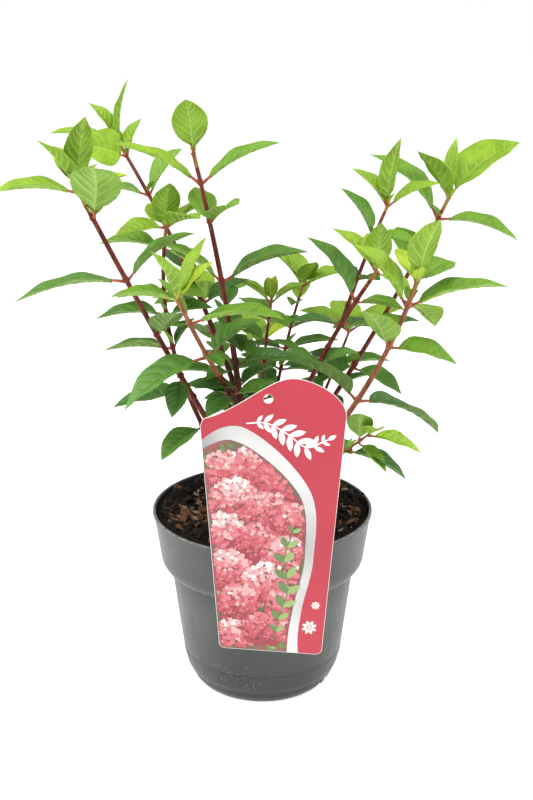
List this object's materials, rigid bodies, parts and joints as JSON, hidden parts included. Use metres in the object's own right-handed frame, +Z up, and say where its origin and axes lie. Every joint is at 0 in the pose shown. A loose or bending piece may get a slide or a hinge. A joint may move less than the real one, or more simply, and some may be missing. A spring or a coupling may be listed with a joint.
{
  "type": "potted panicle hydrangea",
  "caption": "Young panicle hydrangea with red-brown stems and pointed leaves in opposite pairs, in a filled nursery pot with a tall plant label hung on its rim.",
  "frame": {"origin": "middle of the pot's flat underside", "axes": "+Z up along the pot's axis; -Y towards the plant label, the side that the picture shows; +X to the right as seen from there"},
  "size_m": [0.4303, 0.2738, 0.5131],
  "materials": {
    "pot": "satin, lightly scuffed",
    "soil": "loose damp bark chips",
    "plant_label": "printed, semi-gloss",
    "bark": "smooth, with pale pores",
    "leaves": "satin, veined"
  },
  "bodies": {
    "root": {"pot": "pot", "soil": "soil", "plant_label": "plant_label", "trunk": "bark", "bough_far_left": "bark", "bough_left": "bark", "bough_tall_centre": "bark", "bough_upper_left": "bark", "bough_front_left": "bark", "bough_back_centre": "bark", "bough_back_thin": "bark", "bough_right_centre": "bark", "bough_right_fork": "bark", "bough_far_right": "bark", "bough_front_right": "bark", "bough_low_right": "bark", "bough_rear_left": "bark", "bough_rear": "bark", "bough_rear_right": "bark", "leaves_far_left": "leaves", "leaves_left": "leaves", "leaves_tall_centre": "leaves", "leaves_upper_left": "leaves", "leaves_front_left": "leaves", "leaves_back_centre": "leaves", "leaves_back_thin": "leaves", "leaves_right_centre": "leaves", "leaves_right_fork": "leaves", "leaves_far_right": "leaves", "leaves_front_right": "leaves", "leaves_low_right": "leaves", "leaves_rear_left": "leaves", "leaves_rear": "leaves", "leaves_rear_right": "leaves"}
  },
  "joints": []
}
